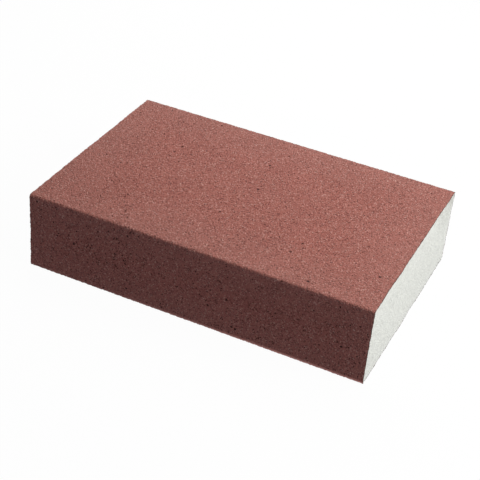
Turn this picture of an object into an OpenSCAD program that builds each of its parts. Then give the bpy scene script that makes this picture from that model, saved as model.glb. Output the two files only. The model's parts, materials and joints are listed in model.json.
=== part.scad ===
// Four-sided sanding block.
//
// A firm foam core carries an abrasive coat on its two wide faces and on its
// two narrow faces. Each coat is a film of resin, the bond coat, which holds
// a layer of mineral grains, the grit coat. The wide faces are coated first.
// The narrow faces are coated after that, so their coats turn round the long
// edges and butt against the wide ones. The block is cut to length last,
// which leaves its two ends as bare foam.
//
// The length runs along X, the width along Y and the height along Z. The
// origin is at the middle of the face that the block rests on.

/* [Block] */
// Length between the two cut ends, in mm
block_length = 107; // [60:1:160]
// Width over the coats of the two narrow faces, in mm
block_width = 70; // [40:1:120]
// Height over the coats of the two wide faces, in mm
block_height = 25; // [12:1:50]

/* [Foam] */
// Radius of the foam core's four long edges, in mm
core_edge_radius = 0.4; // [0.1:0.1:3]

/* [Coats] */
// Thickness of the resin film on the foam, in mm
bond_thickness = 0.1; // [0.05:0.05:0.3]
// Thickness of the layer of grains on the resin, in mm
grit_thickness = 0.25; // [0.1:0.05:0.8]

/* [Hidden] */
// Segments of a full circle at the long edges
$fn = 48;

// Size of the foam core inside its coats
coat_thickness = bond_thickness + grit_thickness;
core_width = block_width - 2 * coat_thickness;
core_height = block_height - 2 * coat_thickness;

// Width and height of the core's faces between its round long edges. A wide
// coat covers the flat width, and a narrow coat covers all the rest.
flat_width = core_width - 2 * core_edge_radius;
flat_height = core_height - 2 * core_edge_radius;

foam_colour = "#dfe0db";
bond_colour = "#5c2f2b";
grit_colour = "#9e6a61";

// Runs a cross-section, drawn in Y and Z round the block's middle line, along
// the length of the block
module along_length() {
    translate([-block_length / 2, 0, block_height / 2])
        rotate([90, 0, 90])
            linear_extrude(block_length)
                children();
}

// Cross-section of the core, grown on all sides by the given distance. The
// centres of its round edges stay where the core has them.
module core_section(growth = 0) {
    square([flat_width, core_height + 2 * growth], center = true);
    square([core_width + 2 * growth, flat_height], center = true);
    for (y_side = [-1, 1], z_side = [-1, 1])
        translate([y_side * flat_width / 2, z_side * flat_height / 2])
            circle(core_edge_radius + growth);
}

// Cross-section of the film of resin, right round the core
module bond_section() {
    difference() {
        core_section(bond_thickness);
        core_section();
    }
}

// Cross-section of the layer of grains, right round the film of resin
module grit_section() {
    difference() {
        core_section(coat_thickness);
        core_section(bond_thickness);
    }
}

// The stretch of the cross-section over the flat of the two wide faces
module flat_stretch() {
    square([flat_width, block_height], center = true);
}

// What a section has on a wide face: the top for side 1, the bottom for -1
module on_wide_face(side) {
    intersection() {
        children();
        flat_stretch();
        translate([0, side * block_height / 2])
            square([block_width, block_height], center = true);
    }
}

// What a section has on a narrow face and round the two long edges beside
// it: the back for side 1, the front for -1
module on_narrow_face(side) {
    difference() {
        intersection() {
            children();
            translate([side * block_width / 2, 0])
                square([block_width, block_height], center = true);
        }
        flat_stretch();
    }
}

module foam_core() {
    color(foam_colour) along_length() core_section();
}

module top_bond_coat() {
    color(bond_colour) along_length() on_wide_face(1) bond_section();
}

module bottom_bond_coat() {
    color(bond_colour) along_length() on_wide_face(-1) bond_section();
}

module front_bond_coat() {
    color(bond_colour) along_length() on_narrow_face(-1) bond_section();
}

module back_bond_coat() {
    color(bond_colour) along_length() on_narrow_face(1) bond_section();
}

module top_grit_coat() {
    color(grit_colour) along_length() on_wide_face(1) grit_section();
}

module bottom_grit_coat() {
    color(grit_colour) along_length() on_wide_face(-1) grit_section();
}

module front_grit_coat() {
    color(grit_colour) along_length() on_narrow_face(-1) grit_section();
}

module back_grit_coat() {
    color(grit_colour) along_length() on_narrow_face(1) grit_section();
}

foam_core();
top_bond_coat();
bottom_bond_coat();
front_bond_coat();
back_bond_coat();
top_grit_coat();
bottom_grit_coat();
front_grit_coat();
back_grit_coat();
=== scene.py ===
"""Models a four-sided sanding block round its CAD frame.

A foam core carries an abrasive coat on its two wide and its two narrow faces.
Each coat is a thin film of resin, the bond coat, with a layer of mineral
grains on it, the grit coat. The two ends are cut foam.

All sizes are in metres. The length of the block runs along X, its width along
Y and its height along Z.
"""

import json
import math

import bmesh
import bpy
import numpy as np
from bpy.props import FloatProperty, FloatVectorProperty, IntProperty, PointerProperty
from mathutils import Matrix, Vector, noise
from mathutils.geometry import delaunay_2d_cdt

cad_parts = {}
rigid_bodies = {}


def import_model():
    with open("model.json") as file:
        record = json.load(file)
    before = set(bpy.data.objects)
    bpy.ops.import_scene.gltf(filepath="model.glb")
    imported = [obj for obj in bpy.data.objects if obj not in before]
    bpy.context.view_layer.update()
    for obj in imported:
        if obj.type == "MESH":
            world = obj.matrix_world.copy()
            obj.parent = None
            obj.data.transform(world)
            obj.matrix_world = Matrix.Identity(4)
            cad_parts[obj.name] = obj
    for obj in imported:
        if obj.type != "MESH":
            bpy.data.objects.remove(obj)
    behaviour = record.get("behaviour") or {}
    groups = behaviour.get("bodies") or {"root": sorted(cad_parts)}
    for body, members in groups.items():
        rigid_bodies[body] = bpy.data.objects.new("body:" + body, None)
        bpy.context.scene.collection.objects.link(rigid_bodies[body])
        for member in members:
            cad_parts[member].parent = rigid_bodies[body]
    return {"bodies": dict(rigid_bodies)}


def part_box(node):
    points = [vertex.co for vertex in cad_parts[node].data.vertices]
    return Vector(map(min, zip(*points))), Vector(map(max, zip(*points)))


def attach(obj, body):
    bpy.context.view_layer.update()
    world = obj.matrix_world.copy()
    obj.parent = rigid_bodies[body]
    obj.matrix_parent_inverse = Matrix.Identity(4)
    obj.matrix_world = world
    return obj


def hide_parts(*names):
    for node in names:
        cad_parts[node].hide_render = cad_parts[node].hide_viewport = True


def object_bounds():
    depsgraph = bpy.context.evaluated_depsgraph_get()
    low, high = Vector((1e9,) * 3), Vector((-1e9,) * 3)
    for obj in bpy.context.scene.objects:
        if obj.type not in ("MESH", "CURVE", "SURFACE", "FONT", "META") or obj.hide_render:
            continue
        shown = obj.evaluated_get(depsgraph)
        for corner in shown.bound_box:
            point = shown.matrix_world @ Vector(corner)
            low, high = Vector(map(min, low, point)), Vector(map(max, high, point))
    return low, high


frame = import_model()
CAD_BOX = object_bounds()

bl_info = {
    "name": "Sanding Block",
    "version": (1, 0, 0),
    "blender": (4, 5, 0),
    "location": "View3D > Sidebar > Sanding Block",
    "description": "Models a four-sided sanding block round its CAD frame",
    "category": "Object",
}

MM = 0.001


# ---------------------------------------- the frame's sizes

# The block stands on the middle of its bottom face, so its highest corner gives its size.
HALF_LENGTH, HALF_WIDTH, HEIGHT = CAD_BOX[1]
MIDDLE_HEIGHT = HEIGHT / 2

# The one body that the whole block is
(BODY,) = frame["bodies"]

# The wide coats cover the flat between the long edges, and a narrow coat
# covers a narrow face and the two long edges beside it.
FLAT_HALF_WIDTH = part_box("top_grit_coat")[1].y
EDGE_RADIUS = HALF_WIDTH - FLAT_HALF_WIDTH
EDGE_ARC = EDGE_RADIUS * math.pi / 2
NARROW_FLAT = HEIGHT - 2 * EDGE_RADIUS

# How deep each layer ends below the outer face
GRIT_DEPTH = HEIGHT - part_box("top_grit_coat")[0].z
BOND_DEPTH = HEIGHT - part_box("top_bond_coat")[0].z
CORE_HALF = np.array([HALF_WIDTH - BOND_DEPTH, MIDDLE_HEIGHT - BOND_DEPTH])
CORE_EDGE_RADIUS = EDGE_RADIUS - BOND_DEPTH


# ---------------------------------------- shape of the details

# How sharply the grit turns over a long edge: 2 is round, more is squarer
EDGE_POWER = 2.6

# The saw cuts at the two ends: how far they wander, how far in they are felt,
# and the lengths and shares of their broad and their fine waves
CUT_WAVE = 0.45 * MM
CUT_REACH = 3 * MM
CUT_WAVES = ((9 * MM, 0.6), (2 * MM, 0.4))

# Most of a coat's cut edge is torn only a little, and the more so, the higher this is
TEAR_POWER = 2.5

# How far points stray from even places, in spacings
EDGE_STRAY = 0.25
GRAIN_STRAY = 0.36
FILM_STRAY = 0.3
CELL_STRAY = 0.42

# Columns and rows of points on the inner side of a coat
INNER_GRID = (24, 20)

# How much the pits of a face differ in size, and their limits
WIDE_PIT_VARIETY = 0.5
NARROW_PIT_VARIETY = 0.3
SMALLEST_PIT = 0.12 * MM
LARGEST_PIT = 0.5 * MM

# Some pits gather in clusters: the clusters of a face, how wide they spread,
# and the share of the pits in them
CLUSTERS = 9
CLUSTER_SPREAD = 6 * MM
CLUSTERED = 0.5

# A pit's steep wall as a share of its radius, the distance between two points
# round its rim, how uneven that rim is, the grit that is left under the pit, and
# the share of the grains' relief that its floor keeps
PIT_WALL = 0.4
PIT_STEP = 0.17 * MM
PIT_UNEVEN = 0.1
PIT_BOTTOM = 0.02 * MM
PIT_RELIEF = 0.15

# Length of the slow waves in the layer of grains
SWELL_WAVE = 1.1 * MM

# How far in from its edges a coated face has a painted sheen, a greyer tint that stands in for a
# glancing reflection
SHEEN_REACH = 20 * MM

# Low on the narrow faces the grains are painted pale, a painted highlight for the light that the
# table throws up onto the lower long edges: wholly up to the first height, and not at all over the
# second
GLOW_HEIGHTS = (0.655 * MM, 1.25 * MM)

# The painted highlight grows from left to right: two places, in half lengths, and its share there
GLOW_PLACES = (-0.556, 0.444)
GLOW_SHARES = (0.1, 1.0)

# The bond coat: how uneven it is, the distance between two points along its
# edge, and how far the points of its faces keep from that edge
BOND_UNEVEN = 0.015 * MM
BOND_STEP = 0.35 * MM
BOND_MARGIN = 0.3 * MM

# The cells of the foam: how much they differ in depth, how uneven their walls
# are cut, and how far the rim of the cut lies back
CELL_VARIETY = 0.4
WALL_UNEVEN = 0.25
RIM_BACK = 0.02 * MM

# How far in from the rim the coat stains the foam, how far the darker top back corner reaches, and
# how much of a step across and of a step down counts towards that
STAIN_REACH = 2.5 * MM
CORNER_REACH = 11 * MM
CORNER_STEPS = (0.6, 1.0)

# Edges of the foam's cells that turn more than this stay sharp
SHARP_ANGLE = math.radians(38)


# ---------------------------------------- stage and flat maps

# The two lamps, which hang on the right and behind the block: places and widths
KEY_PLACE = (0.337, -0.02, 0.245)
KEY_WIDTH = 0.226
BACK_PLACE = (-0.029, 0.151, 0.175)
BACK_WIDTH = 0.3

# The colours of the light from all round, and of the light that the table throws up
SKY_TINT = (0.97, 0.98, 1.0, 1.0)
TABLE_TINT = (0.84, 0.85, 1.0, 1.0)

WHITE = (1.0, 1.0, 1.0, 1.0)

# How the parts of a piece share its flat map, from low to high
BAKE_MAP = "OFBake"
COAT_OUTER = (0.0, 0.9)
COAT_INNER = (0.91, 0.96)
COAT_RIM = (0.97, 1.0)
FOAM_NEAR = (0.0, 0.45)
FOAM_FAR = (0.46, 0.91)
FOAM_SKIN = (0.93, 0.99)


# ---------------------------------------- user settings


def distance(name, description, millimetres, lowest=0.0, highest=1000.0):
    """A length property, with its default and limits in millimetres."""
    return FloatProperty(
        name=name,
        description=description,
        default=millimetres * MM,
        min=lowest * MM,
        max=highest * MM,
        precision=5,
        subtype="DISTANCE",
        unit="LENGTH",
    )


def share(name, description, value):
    """A property from 0 to 1."""
    return FloatProperty(
        name=name, description=description, default=value, min=0.0, max=1.0, subtype="FACTOR"
    )


def number(name, description, value, lowest=0.0):
    """A plain number property."""
    return FloatProperty(name=name, description=description, default=value, min=lowest)


def whole(name, description, value):
    """A whole number property."""
    return IntProperty(name=name, description=description, default=value, min=0)


def angle(name, description, degrees):
    """An angle property, with its default in degrees."""
    return FloatProperty(
        name=name,
        description=description,
        default=math.radians(degrees),
        subtype="ANGLE",
        unit="ROTATION",
    )


def linear(code):
    """The linear colour of a hex code such as #a26c62."""
    parts = [int(code[i : i + 2], 16) / 255 for i in (1, 3, 5)]
    return [p / 12.92 if p <= 0.04045 else ((p + 0.055) / 1.055) ** 2.4 for p in parts]


def colour(name, description, code):
    """A colour property with a hex code as its default."""
    return FloatVectorProperty(
        name=name,
        description=description,
        default=(*linear(code), 1.0),
        size=4,
        min=0.0,
        max=1.0,
        subtype="COLOR",
    )


class GritSettings(bpy.types.PropertyGroup):
    """Sizes and colours of the four grit coats."""

    spacing: distance("Grain spacing", "Mean distance between two grains", 0.31, 0.1, 5)
    relief: distance("Grain relief", "Height of the highest grain over the lowest", 0.155, 0, 0.2)
    swell: distance("Swell", "Height of the slow waves in the layer of grains", 0.035, 0, 0.1)
    cut_notch: distance("Cut notches", "How far the cut tears into the coat's ends", 0.28, 0, 1)
    wide_pit: distance("Wide pits", "Radius of a middling pit on a wide face", 0.21, 0.05, 1)
    narrow_pit: distance("Narrow pits", "Radius of a middling pit on a narrow face", 0.18, 0.05, 1)
    wide_pits: whole("Number of wide pits", "Number of pits on a wide face", 130)
    narrow_pits: whole("Number of narrow pits", "Number of pits on a narrow face", 1000)
    dark: colour("Dark grains", "Colour of the darkest grains", "#5f3731")
    mean: colour("Grains", "Colour of most grains", "#a7665b")
    pale: colour("Pale grains", "Colour of the palest grains", "#cb9c90")
    # The pits' colour is partly the dark resin and partly painted shade for the shadow deep in
    # each pit
    pit: colour("Pits", "Colour of the resin in the pits", "#42221f")
    # Painted highlight: this pale colour on the lower long edges stands in for the light that the
    # table throws up
    edge_glow: colour("Glowing grains", "Colour of the grains on the lower long edges", "#faaea0")
    # Painted sheen: this greyer tint near the edges, and its strength, stand in for a glancing
    # reflection
    painted_sheen: colour("Sheened grains", "Colour that dust gives the grains near the edges", "#a97f76")
    sheen: share("Sheen", "How strongly the dust shows right at the edges", 0.2)
    torn: colour("Torn ends", "Colour of the coat's cut ends", "#453c38")
    roughness: share("Roughness", "Roughness of the grains", 0.7)
    gloss: share("Gloss", "How strongly the grains reflect", 0.12)
    seed: whole("Seed", "Number that places the grains", 7)


class BondSettings(bpy.types.PropertyGroup):
    """Sizes and colours of the four bond coats."""

    spacing: distance("Spacing", "Distance between two points of the film", 1.5, 0.3, 10)
    cut_notch: distance("Cut notches", "How far the cut tears into the film's ends", 0.12, 0, 1)
    resin: colour("Resin", "Colour of the film of resin", "#5c2f2b")
    torn: colour("Torn ends", "Colour of the film's cut ends", "#54473f")
    tearing: share("Tearing", "How strongly the torn colour shows", 0.8)
    roughness: share("Roughness", "Roughness of the film of resin", 0.42)
    seed: whole("Seed", "Number that places the notches", 11)


class FoamSettings(bpy.types.PropertyGroup):
    """Sizes and colours of the foam core."""

    cell: distance("Cell size", "Mean distance between two cells", 0.62, 0.3, 5)
    cell_depth: distance("Cell depth", "Depth of a middling cell where it is cut", 0.08, 0, 1)
    wall: share("Wall share", "How much of a cell's radius its wall takes", 0.24)
    foam: colour("Foam", "Colour of the foam", "#e6e7df")
    # Painted shade: the darker colour deep in the cells stands in for the shadow inside them
    hollow: colour("Hollows", "Colour deep inside the cells", "#c9cac1")
    overspray: colour("Overspray", "Colour of the coat's stains at the rim", "#8a6259")
    stains: share("Stains", "How strongly the coat's stains show", 0.7)
    corner_grey: colour("Darker corner", "Colour of the darkening in the top back corner", "#97928a")
    corner_darkening: share("Darkening", "How strongly the darkening shows", 0.6)
    roughness: share("Roughness", "Roughness of the foam", 0.92)
    seed: whole("Seed", "Number that places the cells", 23)


class StageSettings(bpy.types.PropertyGroup):
    """The camera, the lights and the floor."""

    azimuth: angle("Azimuth", "Direction of the camera round the block, from the front", 22.78)
    elevation: angle("Elevation", "Height of the camera over the horizon", 34.08)
    roll: angle("Roll", "Turn of the camera about its view, anticlockwise", 5.18)
    reach: distance("Reach", "Distance of the camera from the point it aims at", 371.2, 50, 5000)
    aim_back: distance("Aim, back", "How far behind the block's middle it aims", -2.8, -100, 100)
    aim_up: distance("Aim, up", "How far over the block's middle it aims", -2.83, -100, 100)
    lens: number("Lens", "Focal length in millimetres", 92.64, 10.0)
    key: number("Key light", "Power of the key light, in watts", 1.4)
    back: number("Back light", "Power of the back light, in watts", 0.456)
    sky: share("Sky", "Strength of the even light from all round", 0.02)
    floor: share("Floor grey", "How much light the floor gives back", 0.12)
    table_glow: share("Table glow", "Light from under the white table", 0.34)
    floor_white: share("White floor", "How far the floor is white to the camera", 0.97)


# ---------------------------------------- meshes


def delaunay(points, edges):
    """Delaunay triangles over 2-D points, which hold these edges."""
    found = delaunay_2d_cdt([Vector(p) for p in points], edges, [], 0, 1e-9, True)
    source = np.array([ids[0] for ids in found[3]])
    return source[np.array(found[2])]


def triangulate(points, loop):
    """Delaunay triangles over 2-D points, inside the outline that the first ones draw.

    The outline runs anticlockwise, so a triangle that fills one of its notches
    has three of its corners in the wrong order, and is left out.
    """
    faces = delaunay(points, [(i, (i + 1) % loop) for i in range(loop)])
    first, second, third = faces.T
    backward = (second - first) % loop > (third - first) % loop
    return faces[~((faces < loop).all(1) & backward)]


def honeycomb(low, high, spacing, stray, rng):
    """Points on a honeycomb that fills a rectangle, each moved by up to stray spacings."""
    pitch = spacing * math.sqrt(3) / 2
    rows = np.arange(low[1] + spacing / 2, high[1] - spacing / 2, pitch)
    steps = np.arange(low[0] + spacing / 2, high[0] - spacing / 2, spacing)
    x, y = np.meshgrid(steps, rows)
    x = x + (np.arange(len(rows)) % 2)[:, None] * spacing / 2
    points = np.stack([x.ravel(), y.ravel()], 1)
    points = points + rng.uniform(-stray, stray, points.shape) * spacing
    inside = (points[:, 0] > low[0] + spacing / 3) & (points[:, 0] < high[0] - spacing / 3)
    return points[inside]


def stations(low, high, spacing, stray, rng):
    """Numbers from low to high about one spacing apart, the two ends included."""
    count = max(2, round((high - low) / spacing) + 1)
    places = np.linspace(low, high, count)
    places[1:-1] += rng.uniform(-stray, stray, count - 2) * spacing
    return places


def add_object(name, data):
    """An object in the scene that holds this mesh, lamp or camera."""
    made = bpy.data.objects.new(name, data)
    bpy.context.scene.collection.objects.link(made)
    return made


def add_piece(name, vertices, faces, material, smooth=False):
    """Makes an object from arrays of vertices and of faces, and gives it its material."""
    mesh = bpy.data.meshes.new(name)
    mesh.from_pydata(vertices.tolist(), [], faces)
    mesh.materials.append(material)
    mesh.polygons.foreach_set("use_smooth", [smooth] * len(mesh.polygons))
    mesh.update()
    return add_object(name, mesh)


def add_values(piece, name, values, domain="POINT"):
    """Gives each point or face of a piece a value that its material reads by name."""
    layer = piece.data.attributes.new(name, "FLOAT", domain)
    layer.data.foreach_set("value", np.asarray(values, np.float32))


def add_bake_map(piece, corners):
    """Gives the piece its flat map, with one place for each corner of each face."""
    layer = piece.data.uv_layers.new(name=BAKE_MAP)
    layer.uv.foreach_set("vector", np.asarray(corners, np.float32).ravel())


def weld(piece):
    """Joins the points of a piece that lie in one place."""
    shape = bmesh.new()
    shape.from_mesh(piece.data)
    bmesh.ops.remove_doubles(shape, verts=shape.verts, dist=0.001 * MM)
    shape.to_mesh(piece.data)
    shape.free()


def slow_waves(points, wave):
    """Smooth noise from 0 to 1 at points in space, with waves of about this length."""
    return np.array([0.5 + 0.5 * noise.noise(Vector(p) / wave) for p in points.tolist()])


def saw_ends(points):
    """Moves what lies near the two ends of the block onto the slightly wavy saw cuts."""
    felt = np.clip((np.abs(points[:, 0]) - HALF_LENGTH) / CUT_REACH + 1, 0, 1)
    near = felt > 0
    ends = np.sign(points[near]) * (1, 0, 0) * HALF_LENGTH + points[near] * (0, 1, 1)
    waves = sum(part * slow_waves(ends, wave) for wave, part in CUT_WAVES)
    back = waves * CUT_WAVE * felt[near]
    moved = points.copy()
    moved[near, 0] -= np.sign(points[near, 0]) * back
    return moved


# ---------------------------------------- shape of a coat


def on_wide_face(along, across, depth):
    """Points of the top coat: across runs over the face from front to back."""
    return np.stack([along, across, HEIGHT - depth], 1)


def on_narrow_face(along, across, depth):
    """Points of the front coat: across runs up the face, and round both long edges.

    Grains gather on the long edges, so the outer side turns more sharply than a circle.
    """
    rise = np.clip(across - EDGE_ARC, 0, NARROW_FLAT)
    turn = (across - rise) / EDGE_RADIUS
    sides = np.abs(np.sin(turn)) ** EDGE_POWER + np.abs(np.cos(turn)) ** EDGE_POWER
    sharp = sides ** (-1 / EDGE_POWER)
    outer = np.clip(1 - depth / GRIT_DEPTH, 0, 1)
    radius = (EDGE_RADIUS - depth) * (1 + (sharp - 1) * outer)
    y = -FLAT_HALF_WIDTH - radius * np.sin(turn)
    z = EDGE_RADIUS + rise - radius * np.cos(turn)
    return np.stack([along, y, z], 1)


# For each coat: how its points lie, from where to where it runs across, whether
# it is turned over about the block's middle line, and the seams that it ends on
WIDE = (on_wide_face, -FLAT_HALF_WIDTH, FLAT_HALF_WIDTH)
NARROW = (on_narrow_face, 0.0, 2 * EDGE_ARC + NARROW_FLAT)
COATS = {
    "top": (WIDE, False, "front_top", "back_top"),
    "bottom": (WIDE, True, "back_bottom", "front_bottom"),
    "front": (NARROW, False, "front_bottom", "front_top"),
    "back": (NARROW, True, "back_top", "back_bottom"),
}
SEAMS = ("front_top", "back_top", "front_bottom", "back_bottom")


def on_block(coat, places, depth):
    """Points of a coat in space, from their places along and across it and their depths."""
    (place, _, _), turned, _, _ = COATS[coat]
    points = place(places[:, 0], places[:, 1], depth)
    if turned:
        points = points * (1, -1, -1) + (0, 0, HEIGHT)
    return points


def seam_line(seam, spacing, relief, notch, seed):
    """Places along a seam and their depths, alike for the two coats that meet on it."""
    rng = np.random.default_rng([seed, SEAMS.index(seam)])
    along = stations(-HALF_LENGTH, HALF_LENGTH, spacing, EDGE_STRAY, rng)
    nick = min(notch, 0.4 * spacing)
    along[0] += rng.uniform(0, nick)
    along[-1] -= rng.uniform(0, nick)
    return along, rng.uniform(0, relief, len(along))


def outline(coat, spacing, relief, notch, seed):
    """The edge of a coat as places along and across it, with each place's depth."""
    (_, low, high), _, low_seam, high_seam = COATS[coat]
    rng = np.random.default_rng([seed, 4 + list(COATS).index(coat)])
    low_along, low_depth = seam_line(low_seam, spacing, relief, notch, seed)
    high_along, high_depth = seam_line(high_seam, spacing, relief, notch, seed)
    cut = stations(low, high, spacing, EDGE_STRAY, rng)[1:-1]
    tear = notch * rng.uniform(0, 1, (2, len(cut))) ** TEAR_POWER
    rough = relief * rng.uniform(0, 1, (2, len(cut)))
    along = [low_along, HALF_LENGTH - tear[0], high_along[::-1], tear[1] - HALF_LENGTH]
    across = [np.full(len(low_along), low), cut, np.full(len(high_along), high), cut[::-1]]
    depth = [low_depth, rough[0], high_depth[::-1], rough[1]]
    places = np.stack([np.concatenate(along), np.concatenate(across)], 1)
    return places, np.concatenate(depth)


def in_band(places, band):
    """Moves places in a unit square into a level band of the flat map."""
    low, high = band
    return places * (1, high - low) + (0, low)


def coat_map(coat, outer, inner, top, under, rim):
    """A flat map of a coat: the outer side fills most of it, and the rest lies beside it."""
    (_, low, high), _, _, _ = COATS[coat]
    size = np.array([2 * HALF_LENGTH, high - low])
    corner = np.array([-HALF_LENGTH, low])
    outer_place = in_band((outer - corner) / size, COAT_OUTER)
    inner_place = in_band((inner - corner) / size, COAT_INNER)
    turn = np.arange(len(rim)) / len(rim)
    after = turn + 1 / len(rim)
    rim_corners = [(turn, 1), (turn, 0), (after, 0), (after, 1)]
    rim_place = np.stack([np.stack(np.broadcast_arrays(*c), 1) for c in rim_corners], 1)
    flat = [
        outer_place[top].reshape(-1, 2),
        inner_place[under - len(outer)].reshape(-1, 2),
        in_band(rim_place.reshape(-1, 2), COAT_RIM),
    ]
    return np.concatenate(flat)


def coat_piece(name, coat, outer, border, depth, inner_depth, material):
    """A closed shell over a coat's stretch of the block: the piece and its points.

    The outer side has these places and depths, of which the first ones, up to the
    border, go round the coat's edge. The inner side repeats those, with a few rows
    of places of its own.
    """
    (_, low, high), _, _, _ = COATS[coat]
    columns = np.linspace(-HALF_LENGTH, HALF_LENGTH, INNER_GRID[0])[1:-1]
    rows = np.linspace(low, high, INNER_GRID[1])[1:-1]
    inner = np.stack([part.ravel() for part in np.meshgrid(columns, rows)], 1)
    inner = np.concatenate([outer[:border], inner])
    depths = np.full(len(inner), inner_depth)
    points = np.concatenate([on_block(coat, outer, depth), on_block(coat, inner, depths)])
    points = saw_ends(points)
    top = triangulate(outer, border)
    under = triangulate(inner, border)[:, ::-1] + len(outer)
    first = np.arange(border)
    after = np.roll(first, -1)
    rim = np.stack([first, first + len(outer), after + len(outer), after], 1)
    faces = [*top.tolist(), *under.tolist(), *rim.tolist()]
    piece = add_piece(name, points, faces, material)
    add_values(piece, "cut", np.arange(len(faces)) >= len(faces) - border, "FACE")
    add_bake_map(piece, coat_map(coat, outer, inner, top, under, rim))
    return piece, points


# ---------------------------------------- grit coats


def scatter_pits(coat, settings, rng):
    """Centres and radii of a coat's pits, some of which lie in loose clusters."""
    (place, low, high), _, _, _ = COATS[coat]
    if place is on_wide_face:
        count, middling, variety = settings.wide_pits, settings.wide_pit, WIDE_PIT_VARIETY
    else:
        count, middling, variety = settings.narrow_pits, settings.narrow_pit, NARROW_PIT_VARIETY
    corner = np.array([-HALF_LENGTH, low])
    size = np.array([2 * HALF_LENGTH, high - low])
    centres = corner + size * rng.uniform(0, 1, (count, 2))
    clusters = corner + size * rng.uniform(0, 1, (CLUSTERS, 2))
    members = rng.integers(0, CLUSTERS, count)
    gathered = clusters[members] + rng.normal(0, CLUSTER_SPREAD, (count, 2))
    centres = np.where(rng.uniform(0, 1, (count, 1)) < CLUSTERED, gathered, centres)
    radii = middling * rng.lognormal(0, variety, count)
    return centres, radii.clip(SMALLEST_PIT, LARGEST_PIT)


def pit_rings(centres, radii, rng):
    """Points on the rim and the floor of each pit, so that it has a round edge."""
    made = []
    for centre, radius in zip(centres, radii):
        count = max(6, round(2 * math.pi * radius / PIT_STEP))
        start = rng.uniform(0, 2 * math.pi)
        for size, turn in ((1.0, 0.0), (1 - PIT_WALL, 0.5)):
            way = start + (np.arange(count) + turn) * 2 * math.pi / count
            reach = radius * size * rng.uniform(1 - PIT_UNEVEN, 1 + PIT_UNEVEN, count)
            made.append(centre + np.stack([np.cos(way), np.sin(way)], 1) * reach[:, None])
        made.append(centre[None])
    return np.concatenate(made)


def pit_share(places, centres, radii):
    """How far each place lies in a pit, from 0 at its rim to 1 on its floor."""
    inside = np.zeros(len(places))
    for centre, radius in zip(centres, radii):
        gap = np.linalg.norm(places - centre, axis=1) / radius
        inside = np.maximum(inside, np.clip((1.02 - gap) / PIT_WALL, 0, 1))
    return inside


def gap_to_edge(points):
    """Distance of points on a face of the block from the nearest edge of that face.

    The smallest of a point's three gaps is its depth, and the next one is wanted.
    """
    gaps = np.stack(
        [
            HALF_LENGTH - np.abs(points[:, 0]),
            HALF_WIDTH - np.abs(points[:, 1]),
            MIDDLE_HEIGHT - np.abs(points[:, 2] - MIDDLE_HEIGHT),
        ],
        1,
    )
    return np.sort(gaps, 1)[:, 1]


def grit_coat(coat, settings, material):
    """A layer of grains over one face of the block, with its pits and its torn ends."""
    (place, low, high), _, _, _ = COATS[coat]
    rng = np.random.default_rng([settings.seed, 20 + list(COATS).index(coat)])
    edge, edge_rough = outline(
        coat, settings.spacing, settings.relief, settings.cut_notch, settings.seed
    )
    corners = (-HALF_LENGTH, low), (HALF_LENGTH, high)
    field = honeycomb(*corners, settings.spacing, GRAIN_STRAY, rng)
    centres, radii = scatter_pits(coat, settings, rng)
    field = field[pit_share(field, centres, radii + 0.3 * settings.spacing) == 0]
    field = np.concatenate([field, pit_rings(centres, radii, rng)])
    margin = settings.spacing / 4
    clear = (
        (np.abs(field[:, 0]) < HALF_LENGTH - settings.cut_notch - margin)
        & (field[:, 1] > low + margin)
        & (field[:, 1] < high - margin)
    )
    field = field[clear]
    places = np.concatenate([edge, field])
    rough = np.concatenate([edge_rough, settings.relief * rng.uniform(0, 1, len(field))])
    face = on_block(coat, places, np.zeros(len(places)))
    swell = settings.swell * slow_waves(face, SWELL_WAVE)
    hollow = pit_share(places, centres, radii)
    floor = GRIT_DEPTH - PIT_BOTTOM
    depth = (rough + swell) * (1 - hollow) + (floor - PIT_RELIEF * rough) * hollow
    depth = np.minimum(depth, floor)
    piece, points = coat_piece(
        f"{coat}_grit", coat, places, len(edge), depth, GRIT_DEPTH, material
    )
    buried = np.zeros(len(points) - len(places))
    # The pit mask also places the pits' dark resin and painted shade in the material
    add_values(piece, "hollow", np.concatenate([hollow, buried]))
    # Painted sheen near the edges of each face
    add_values(piece, "painted_sheen", np.clip(1 - gap_to_edge(points) / SHEEN_REACH, 0, 1))
    # Painted highlight low on the narrow faces for the light that the table throws up, stronger to
    # the right
    low_down = np.interp(points[:, 2], GLOW_HEIGHTS, (1.0, 0.0))
    rightward = np.interp(points[:, 0] / HALF_LENGTH, GLOW_PLACES, GLOW_SHARES)
    add_values(piece, "painted_glow", low_down * rightward * (place is on_narrow_face))
    return piece


# ---------------------------------------- bond coats


def bond_coat(coat, settings, material):
    """The film of resin between the foam and the grains of one face."""
    (_, low, high), _, _, _ = COATS[coat]
    rng = np.random.default_rng([settings.seed, 40 + list(COATS).index(coat)])
    edge, edge_rough = outline(coat, BOND_STEP, BOND_UNEVEN, settings.cut_notch, settings.seed)
    corners = (-HALF_LENGTH, low), (HALF_LENGTH, high)
    field = honeycomb(*corners, settings.spacing, FILM_STRAY, rng)
    field = field[(field[:, 1] > low + BOND_MARGIN) & (field[:, 1] < high - BOND_MARGIN)]
    places = np.concatenate([edge, field])
    depth = GRIT_DEPTH + np.concatenate([edge_rough, rng.uniform(0, BOND_UNEVEN, len(field))])
    piece, _ = coat_piece(
        f"{coat}_bond", coat, places, len(edge), depth, BOND_DEPTH, material
    )
    return piece


# ---------------------------------------- foam core


def mirrored_seeds(seeds, half, reach):
    """The seeds and their mirror images across the four sides of a rectangle."""
    sets = [seeds]
    for axis in (0, 1):
        for side in (-1, 1):
            near = seeds[half[axis] - side * seeds[:, axis] < reach]
            image = near.copy()
            image[:, axis] = side * 2 * half[axis] - near[:, axis]
            sets.append(image)
    return np.concatenate(sets)


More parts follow.
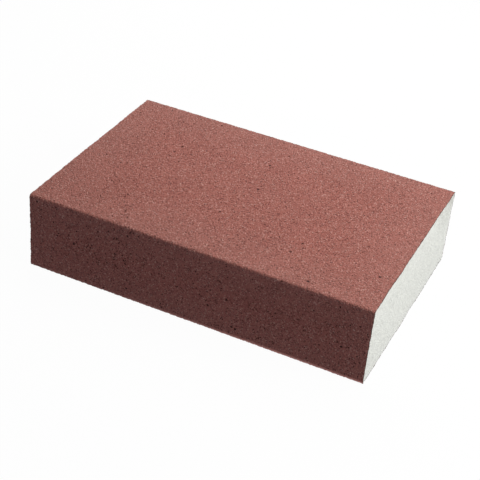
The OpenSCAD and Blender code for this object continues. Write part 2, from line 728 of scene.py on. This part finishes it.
def centres_of_circles(points, triangles):
    """The centre of the circle through each triangle's three corners."""
    a, b, c = (points[triangles[:, i]] for i in range(3))
    u, v = b - a, c - a
    cross = 2 * (u[:, 0] * v[:, 1] - u[:, 1] * v[:, 0])
    uu, vv = (u**2).sum(1), (v**2).sum(1)
    x = (v[:, 1] * uu - u[:, 1] * vv) / cross
    y = (u[:, 0] * vv - v[:, 0] * uu) / cross
    return a + np.stack([x, y], 1)


def cut_cells(half, spacing, rng):
    """The walls of the cells on a cut face: their corners, and each cell's ring of corners."""
    seeds = honeycomb(-half, half, spacing, CELL_STRAY, rng)
    limit = half - 0.2 * spacing
    seeds = seeds[(np.abs(seeds) < limit).all(1)]
    points = mirrored_seeds(seeds, half, 3 * spacing)
    triangles = delaunay(points, [])
    corners = centres_of_circles(points, triangles)
    around = [[] for _ in points]
    for index, triangle in enumerate(triangles.tolist()):
        for corner in triangle:
            around[corner].append(index)
    cells = []
    for seed in range(len(seeds)):
        ring = np.array(around[seed])
        arm = corners[ring] - points[seed]
        cells.append(ring[np.argsort(np.arctan2(arm[:, 1], arm[:, 0]))])
    used = np.unique(np.concatenate(cells))
    order = np.full(len(corners), -1)
    order[used] = np.arange(len(used))
    return corners[used], [order[ring] for ring in cells]


def onto_outline(points):
    """Moves points that lie outside the core's outline, or on its sides, onto the outline."""
    middle = CORE_HALF - CORE_EDGE_RADIUS
    beyond = np.sign(points) * np.maximum(np.abs(points) - middle, 0)
    length = np.linalg.norm(beyond, axis=1)
    outside = length > CORE_EDGE_RADIUS - 1e-7
    moved = points.copy()
    shrink = CORE_EDGE_RADIUS / np.maximum(length, 1e-12)
    moved[outside] += (beyond * (shrink - 1)[:, None])[outside]
    return moved, outside


def way_round(points):
    """How far along the core's outline each point lies, anticlockwise from its lower right."""
    y, z = (points / CORE_HALF).T
    side = np.select([np.abs(y) >= np.abs(z)], [np.where(y > 0, 0, 2)], np.where(z > 0, 1, 3))
    step = np.select([side == 0, side == 1, side == 2], [z, -y, -z], y)
    lengths = np.tile(CORE_HALF[::-1], 2)
    start = np.concatenate([[0], np.cumsum(2 * lengths)[:-1]])
    return start[side] + (step + 1) * lengths[side]


def foam_end(side, settings, rng):
    """One cut end of the core: its points, faces, rim mask and flat places."""
    corners, cells = cut_cells(CORE_HALF, settings.cell, rng)
    corners, on_rim = onto_outline(corners)
    wall_cut = rng.uniform(0, WALL_UNEVEN, len(corners)) * settings.cell_depth
    wall_cut[on_rim] = RIM_BACK
    flat = [corners]
    sunk = [wall_cut]
    hollow = [np.zeros(len(corners))]
    faces = []
    count = len(corners)
    for ring in cells:
        size = len(ring)
        middle = corners[ring].mean(0)
        depth = settings.cell_depth * rng.lognormal(0, CELL_VARIETY)
        inner = count + np.arange(size)
        centre = count + size
        inset = middle + (corners[ring] - middle) * (1 - settings.wall)
        flat += [inset, middle[None]]
        sunk += [np.full(size, 0.6 * depth), [depth]]
        # Painted shade inside each cell, at a random strength
        shade = rng.uniform(0, 1) ** 3
        hollow += [np.full(size, 0.5 * shade), [shade]]
        after = np.roll(np.arange(size), -1)
        faces += [[ring[i], ring[j], inner[j], inner[i]] for i, j in enumerate(after)]
        faces += [[inner[i], inner[j], centre] for i, j in enumerate(after)]
        count += size + 1
    flat = np.concatenate(flat)
    sunk = np.concatenate(sunk)
    points = np.stack([side * (HALF_LENGTH - sunk), flat[:, 0], flat[:, 1] + MIDDLE_HEIGHT], 1)
    if side < 0:
        faces = [face[::-1] for face in faces]
    rim = np.flatnonzero(on_rim)
    rim = rim[np.argsort(way_round(flat[rim]))]
    return points, faces, rim, flat, np.concatenate(hollow)


def join_rings(flat, near, far):
    """Faces between the rims of the two ends, and their places on the flat map."""
    around = 4 * CORE_HALF.sum()
    places, ring = [], []
    for rim, height in ((far, 0.0), (near, 1.0)):
        way = way_round(flat[rim]) / around
        way = np.append(way, way[0] + 1)
        rim = np.append(rim, rim[0])
        if height:
            way, rim = way[::-1], rim[::-1]
        places.append(np.stack([way, np.full(len(way), height)], 1))
        ring.append(rim)
    places, ring = np.concatenate(places), np.concatenate(ring)
    faces = triangulate(places * (around, 2 * HALF_LENGTH), len(ring))
    places = in_band(places / places.max(0), FOAM_SKIN)
    return ring[faces].tolist(), places[faces].reshape(-1, 2)


def foam_core(settings, material):
    """The foam core: two faces of cut cells, and a plain skin under the coats."""
    rng = np.random.default_rng(settings.seed)
    ends = [foam_end(side, settings, rng) for side in (1, -1)]
    points, faces, rims, flat, hollow = zip(*ends)
    count = len(points[0])
    flat = np.concatenate(flat)
    cut = [*faces[0], *([corner + count for corner in face] for face in faces[1])]
    skin, skin_places = join_rings(flat, rims[0], rims[1] + count)
    faces = [[int(corner) for corner in face] for face in [*cut, *skin]]
    piece = add_piece("foam_block", saw_ends(np.concatenate(points)), faces, material, smooth=True)
    piece.data.set_sharp_from_angle(angle=SHARP_ANGLE)
    add_values(piece, "hollow", np.concatenate(hollow))
    to_rim = (CORE_HALF - np.abs(flat)).min(1)
    add_values(piece, "rim", np.clip(1 - to_rim / STAIN_REACH, 0, 1))
    to_corner = np.linalg.norm((CORE_HALF - flat) * CORNER_STEPS, axis=1)
    add_values(piece, "corner", np.clip(1 - to_corner / CORNER_REACH, 0, 1))
    unit = flat / CORE_HALF / 2 + 0.5
    flat = np.concatenate([in_band(unit[:count], FOAM_NEAR), in_band(unit[count:], FOAM_FAR)])
    cut_places = np.array([flat[corner] for face in cut for corner in face])
    add_bake_map(piece, np.concatenate([cut_places, skin_places]))
    weld(piece)
    return piece


# ---------------------------------------- shader nodes


class Wiring:
    """Adds nodes to a node tree and joins them."""

    def __init__(self, tree):
        self.tree = tree

    def feed(self, socket, value):
        """Joins another socket to this one, or sets its value."""
        if isinstance(value, bpy.types.NodeSocket):
            self.tree.links.new(value, socket)
        else:
            socket.default_value = value

    def node(self, kind, inputs=(), **settings):
        """A node with its settings and its inputs, which are found by name or by number."""
        made = self.tree.nodes.new("ShaderNode" + kind)
        for name, value in settings.items():
            setattr(made, name, value)
        for name, value in dict(inputs).items():
            self.feed(made.inputs[name], value)
        return made

    def math(self, operation, first, second):
        """The result of a sum on two numbers."""
        return self.node("Math", {0: first, 1: second}, operation=operation).outputs[0]

    def blend(self, factor, first, second, mode="MIX"):
        """A colour between two colours."""
        inputs = {0: factor, 6: first, 7: second}
        return self.node("Mix", inputs, data_type="RGBA", blend_type=mode).outputs[2]

    def shaded(self, tone, shade):
        """A colour made darker or lighter by a number."""
        grey = self.node("CombineColor", {0: shade, 1: shade, 2: shade}).outputs[0]
        return self.blend(1.0, tone, grey, "MULTIPLY")

    def spread(self, value, low, high, to_low=0.0, to_high=1.0):
        """A number moved from one range to another, and held there."""
        inputs = {0: value, 1: low, 2: high, 3: to_low, 4: to_high}
        return self.node("MapRange", inputs).outputs[0]

    def ramp(self, value, stops):
        """A colour for each number, from a few stops."""
        stops = list(stops)
        made = self.node("ValToRGB", {0: value})
        band = made.color_ramp
        while len(band.elements) < len(stops):
            band.elements.new(1.0)
        for element, (position, tone) in zip(band.elements, stops):
            element.position = position
            element.color = tone
        return made.outputs[0]

    def bump(self, shader, height, strength, depth):
        """Raises and sinks the look of a surface by a height from 0 to 1."""
        inputs = {"Strength": strength, "Distance": depth, "Height": height}
        self.feed(shader.inputs["Normal"], self.node("Bump", inputs).outputs[0])

    def tidy(self):
        """Sets the nodes out in columns, from the first ones to the last."""
        for index, made in enumerate(self.tree.nodes):
            made.location = (index // 5 * 220, -(index % 5) * 260)


def new_group(name, inputs, outputs):
    """An empty node group with named inputs and outputs, and its wiring."""
    group = bpy.data.node_groups.new(name, "ShaderNodeTree")
    for label, kind, value in inputs:
        socket = group.interface.new_socket(label, in_out="INPUT", socket_type=kind)
        if value is not None:
            socket.default_value = value
    for label, kind in outputs:
        group.interface.new_socket(label, in_out="OUTPUT", socket_type=kind)
    wiring = Wiring(group)
    return group, wiring, group.nodes.new("NodeGroupInput"), group.nodes.new("NodeGroupOutput")


def grain_group():
    """Separate grains: a random number for each, and their height."""
    inputs = [("Vector", "NodeSocketVector", None), ("Grain Size", "NodeSocketFloat", 0.0003)]
    outputs = [("Number", "NodeSocketFloat"), ("Height", "NodeSocketFloat")]
    group, wiring, start, end = new_group("Grains", inputs, outputs)
    size = wiring.math("DIVIDE", 1.0, start.outputs["Grain Size"])
    inputs = {0: start.outputs["Vector"], "Scale": size}
    place = wiring.node("VectorMath", inputs, operation="SCALE")
    cells = wiring.node("TexVoronoi", {"Vector": place.outputs[0], "Scale": 1.0})
    parts = wiring.node("SeparateColor", {0: cells.outputs["Color"]})
    height = wiring.math("SUBTRACT", 1.0, cells.outputs["Distance"])
    wiring.feed(end.inputs["Number"], parts.outputs[0])
    wiring.feed(end.inputs["Height"], height)
    wiring.tidy()
    return group


def cloud_group():
    """Slow changes of tone over a surface, at two sizes."""
    inputs = [
        ("Vector", "NodeSocketVector", None),
        ("Size", "NodeSocketFloat", 0.01),
        ("Fine Share", "NodeSocketFloat", 0.4),
    ]
    group, wiring, start, end = new_group("Clouds", inputs, [("Value", "NodeSocketFloat")])
    scale = wiring.math("DIVIDE", 1.0, start.outputs["Size"])
    broad = {"Vector": start.outputs["Vector"], "Scale": scale, "Detail": 2.0}
    broad = wiring.node("TexNoise", broad).outputs[0]
    fine_scale = wiring.math("MULTIPLY", scale, 7.0)
    fine = {"Vector": start.outputs["Vector"], "Scale": fine_scale, "Detail": 3.0}
    fine = wiring.node("TexNoise", fine).outputs[0]
    joined = wiring.node("Mix", {0: start.outputs["Fine Share"], 2: broad, 3: fine})
    wiring.feed(end.inputs["Value"], wiring.spread(joined.outputs[0], 0.3, 0.7))
    wiring.tidy()
    return group


def cleared(owner):
    """The wiring of a material or a world, whose nodes are taken out first."""
    owner.use_nodes = True
    owner.node_tree.nodes.clear()
    return Wiring(owner.node_tree)


def new_material(name, roughness, gloss):
    """An empty material, its wiring and its Principled BSDF."""
    material = bpy.data.materials.new(name)
    wiring = cleared(material)
    shader = wiring.node("BsdfPrincipled", {"Roughness": roughness, "Specular IOR Level": gloss})
    end = wiring.node("OutputMaterial", {"Surface": shader.outputs[0]})
    end.is_active_output = True
    return material, wiring, shader


def object_place(wiring):
    """The place on the object, in metres."""
    return wiring.node("TexCoord").outputs["Object"]


def placed_group(wiring, name, make, inputs):
    """The outputs of a node group, which is made if it isn't there yet."""
    group = bpy.data.node_groups.get(name) or make()
    return wiring.node("Group", inputs, node_tree=group).outputs


def grains(wiring, place, size):
    """Grains of this size: their random numbers and their heights."""
    return placed_group(wiring, "Grains", grain_group, {"Vector": place, "Grain Size": size})


def clouds(wiring, place, size, fine_share):
    """Slow changes of tone at this size, from 0 to 1."""
    inputs = {"Vector": place, "Size": size, "Fine Share": fine_share}
    return placed_group(wiring, "Clouds", cloud_group, inputs)["Value"]


def named_value(wiring, name):
    """A value that the mesh holds for each of its points or faces."""
    return wiring.node("Attribute", attribute_name=name).outputs["Fac"]


def grit_material(settings):
    """Reddish mineral grains in resin, with pits that show the dark resin and painted shade."""
    material, wiring, shader = new_material("grit", settings.roughness, settings.gloss)
    place = object_place(wiring)
    grain = grains(wiring, place, 0.27 * MM)
    tones = (settings.dark, settings.mean, settings.mean, settings.pale)
    tone = wiring.ramp(grain["Number"], zip((0.0, 0.3, 0.86, 1.0), tones))
    cloud = clouds(wiring, place, 14 * MM, 0.35)
    tone = wiring.shaded(tone, wiring.spread(cloud, 0.0, 1.0, 0.93, 1.06))
    # Painted sheen: the grains turn greyer towards the edges of a face
    painted_sheen = wiring.math("MULTIPLY", named_value(wiring, "painted_sheen"), settings.sheen)
    tone = wiring.blend(painted_sheen, tone, settings.painted_sheen)
    # Pits: dark resin and painted shade over each pit's floor
    hollow = wiring.spread(named_value(wiring, "hollow"), 0.1, 0.9)
    tone = wiring.blend(hollow, tone, settings.pit)
    # Painted highlight on the lower long edges
    tone = wiring.blend(named_value(wiring, "painted_glow"), tone, settings.edge_glow)
    tone = wiring.blend(named_value(wiring, "cut"), tone, settings.torn)
    wiring.feed(shader.inputs["Base Color"], tone)
    dullest = settings.roughness + 0.15
    shiniest = settings.roughness - 0.25
    rough = wiring.spread(grain["Number"], 0.0, 1.0, dullest, shiniest)
    wiring.feed(shader.inputs["Roughness"], rough)
    wiring.bump(shader, grain["Height"], 0.35, 0.04 * MM)
    wiring.tidy()
    return material


def bond_material(settings):
    """Brown resin, darker in places, with a fine grain."""
    material, wiring, shader = new_material("bond_resin", settings.roughness, 0.4)
    place = object_place(wiring)
    cloud = clouds(wiring, place, 3 * MM, 0.5)
    dark = [part * 0.6 for part in settings.resin[:3]] + [1.0]
    tone = wiring.blend(wiring.spread(cloud, 0.2, 0.9), settings.resin, dark)
    torn = wiring.math("MULTIPLY", named_value(wiring, "cut"), settings.tearing)
    tone = wiring.blend(torn, tone, settings.torn)
    wiring.feed(shader.inputs["Base Color"], tone)
    wiring.bump(shader, grains(wiring, place, 0.12 * MM)["Height"], 0.3, 0.02 * MM)
    wiring.tidy()
    return material


def foam_material(settings):
    """Off-white foam with painted shade deep in its cells, coat stains at the rim, and a darker
    top back corner.
    """
    material, wiring, shader = new_material("foam", settings.roughness, 0.3)
    place = object_place(wiring)
    # Painted shade deep in the cells
    tone = wiring.blend(named_value(wiring, "hollow"), settings.foam, settings.hollow)
    cloud = clouds(wiring, place, 6 * MM, 0.5)
    tone = wiring.shaded(tone, wiring.spread(cloud, 0.0, 1.0, 0.975, 1.0))
    speck = clouds(wiring, place, 1.2 * MM, 0.3)
    rim = wiring.math("POWER", named_value(wiring, "rim"), 4.0)
    stain = wiring.math("MULTIPLY", rim, wiring.spread(speck, 0.55, 0.95))
    stain = wiring.math("MULTIPLY", stain, settings.stains)
    tone = wiring.blend(stain, tone, settings.overspray)
    # The top back corner of each end is made darker and greyer
    corner = named_value(wiring, "corner")
    corner_darkening = wiring.math("MULTIPLY", corner, wiring.spread(speck, 0.1, 0.9))
    corner_darkening = wiring.math("MULTIPLY", corner_darkening, settings.corner_darkening)
    tone = wiring.blend(corner_darkening, tone, settings.corner_grey)
    wiring.feed(shader.inputs["Base Color"], tone)
    fine = wiring.node("TexNoise", {"Vector": place, "Scale": 6000.0, "Detail": 2.0})
    wiring.bump(shader, fine.outputs[0], 0.25, 0.03 * MM)
    wiring.tidy()
    return material


# ---------------------------------------- stage


def direct_rays(wiring):
    """1 for the rays that show the surroundings as they are: seen, mirrored or through glass."""
    seen = wiring.node("LightPath").outputs
    direct = wiring.math("MAXIMUM", seen["Is Camera Ray"], seen["Is Glossy Ray"])
    return wiring.math("MAXIMUM", direct, seen["Is Transmission Ray"])


def floor_material(settings):
    """A pale floor that the camera sees nearly white, with the block's shadow on it."""
    material = bpy.data.materials.new("floor")
    wiring = cleared(material)
    grey = (settings.floor, settings.floor, settings.floor, 1.0)
    direct = direct_rays(wiring)
    plain = wiring.node("BsdfDiffuse", {"Color": wiring.blend(direct, grey, WHITE)})
    tint = wiring.blend(direct, TABLE_TINT, WHITE)
    glow = wiring.node("Emission", {"Color": tint, "Strength": 1.0})
    factor = wiring.spread(direct, 0.0, 1.0, settings.table_glow, settings.floor_white)
    joined = wiring.node("MixShader", {0: factor, 1: plain.outputs[0], 2: glow.outputs[0]})
    wiring.node("OutputMaterial", {"Surface": joined.outputs[0]})
    wiring.tidy()
    return material


def add_floor(settings):
    """The floor that the block lies on."""
    reach = 20 * HALF_LENGTH
    corners = np.array([(-1, -1, 0), (1, -1, 0), (1, 1, 0), (-1, 1, 0)]) * reach
    return add_piece("floor", corners, [(0, 1, 2, 3)], floor_material(settings))


def add_world(settings):
    """Even light from all round, and a white background."""
    world = bpy.data.worlds.new("studio")
    wiring = cleared(world)
    direct = direct_rays(wiring)
    even = wiring.node("Background", {"Color": SKY_TINT, "Strength": settings.sky})
    white = wiring.node("Background", {"Color": WHITE, "Strength": 1.0})
    joined = wiring.node("MixShader", {0: direct, 1: even.outputs[0], 2: white.outputs[0]})
    wiring.node("OutputWorld", {"Surface": joined.outputs[0]})
    wiring.tidy()
    bpy.context.scene.world = world


def aimed(place, target, roll=0.0):
    """A transform at a place that looks along its own -Z at the target."""
    place, target = Vector(place), Vector(target)
    turn = (target - place).to_track_quat("-Z", "Y").to_matrix().to_4x4()
    return Matrix.Translation(place) @ turn @ Matrix.Rotation(roll, 4, "Z")


def add_lamp(name, place, target, power, width):
    """A square soft light that is aimed at the target."""
    data = bpy.data.lights.new(name, "AREA")
    data.energy = power
    data.size = width
    add_object(name, data).matrix_world = aimed(place, target)


def add_camera(settings):
    """The camera, placed by its angles and its reach from the point that it aims at."""
    target = Vector((0.0, settings.aim_back, MIDDLE_HEIGHT + settings.aim_up))
    turn = Matrix.Rotation(settings.azimuth, 3, "Z") @ Matrix.Rotation(-settings.elevation, 3, "X")
    back = turn @ Vector((0.0, -1.0, 0.0))
    data = bpy.data.cameras.new("camera")
    data.lens = settings.lens
    data.sensor_width = 36.0
    data.clip_start = 0.01
    camera = add_object("camera", data)
    camera.matrix_world = aimed(target + back * settings.reach, target, settings.roll)
    bpy.context.scene.camera = camera


# ---------------------------------------- operators and panel


class SANDING_OT_grit_coats(bpy.types.Operator):
    """Model the layer of grains on each of the four coated faces"""

    bl_idname = "sanding_block.grit_coats"
    bl_label = "Grit coats"

    def execute(self, context):
        settings = context.scene.sanding_grit
        material = grit_material(settings)
        for coat in COATS:
            piece = grit_coat(coat, settings, material)
            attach(piece, BODY)
            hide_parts(f"{coat}_grit_coat")
        return {"FINISHED"}


class SANDING_OT_bond_coats(bpy.types.Operator):
    """Model the film of resin under each layer of grains"""

    bl_idname = "sanding_block.bond_coats"
    bl_label = "Bond coats"

    def execute(self, context):
        settings = context.scene.sanding_bond
        material = bond_material(settings)
        for coat in COATS:
            piece = bond_coat(coat, settings, material)
            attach(piece, BODY)
            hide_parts(f"{coat}_bond_coat")
        return {"FINISHED"}


class SANDING_OT_foam_core(bpy.types.Operator):
    """Model the foam core with the cut cells of its two ends"""

    bl_idname = "sanding_block.foam_core"
    bl_label = "Foam core"

    def execute(self, context):
        settings = context.scene.sanding_foam
        piece = foam_core(settings, foam_material(settings))
        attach(piece, BODY)
        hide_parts("foam_core")
        return {"FINISHED"}


class SANDING_OT_stage(bpy.types.Operator):
    """Set up the camera, the lights and the floor"""

    bl_idname = "sanding_block.stage"
    bl_label = "Stage"

    def execute(self, context):
        settings = context.scene.sanding_stage
        context.scene.view_settings.view_transform = "Standard"
        add_camera(settings)
        add_world(settings)
        add_floor(settings)
        middle = (0.0, 0.0, MIDDLE_HEIGHT)
        add_lamp("key", KEY_PLACE, middle, settings.key, KEY_WIDTH)
        add_lamp("back", BACK_PLACE, middle, settings.back, BACK_WIDTH)
        return {"FINISHED"}


STEPS = (SANDING_OT_stage, SANDING_OT_foam_core, SANDING_OT_bond_coats, SANDING_OT_grit_coats)
SETTINGS = {
    "sanding_grit": GritSettings,
    "sanding_bond": BondSettings,
    "sanding_foam": FoamSettings,
    "sanding_stage": StageSettings,
}


class SANDING_PT_panel(bpy.types.Panel):
    """The steps that make the sanding block, and their settings"""

    bl_idname = "SANDING_PT_panel"
    bl_label = "Sanding Block"
    bl_space_type = "VIEW_3D"
    bl_region_type = "UI"
    bl_category = "Sanding Block"

    def draw(self, context):
        for step in STEPS:
            self.layout.operator(step.bl_idname)
        for name in SETTINGS:
            box = self.layout.box()
            settings = getattr(context.scene, name)
            for prop in settings.bl_rna.properties:
                if not prop.is_readonly and prop.identifier != "name":
                    box.prop(settings, prop.identifier)


CLASSES = (*SETTINGS.values(), *STEPS, SANDING_PT_panel)


def register():
    """Makes the operators, the panel and the settings known to Blender."""
    for cls in CLASSES:
        bpy.utils.register_class(cls)
    for name, cls in SETTINGS.items():
        setattr(bpy.types.Scene, name, PointerProperty(type=cls))


def unregister():
    """Takes them away again."""
    for name in SETTINGS:
        delattr(bpy.types.Scene, name)
    for cls in reversed(CLASSES):
        bpy.utils.unregister_class(cls)


def main():
    """Makes the block and its stage."""
    register()
    bpy.ops.sanding_block.stage()
    bpy.ops.sanding_block.foam_core()
    bpy.ops.sanding_block.bond_coats()
    bpy.ops.sanding_block.grit_coats()


if __name__ == "__main__":
    main()
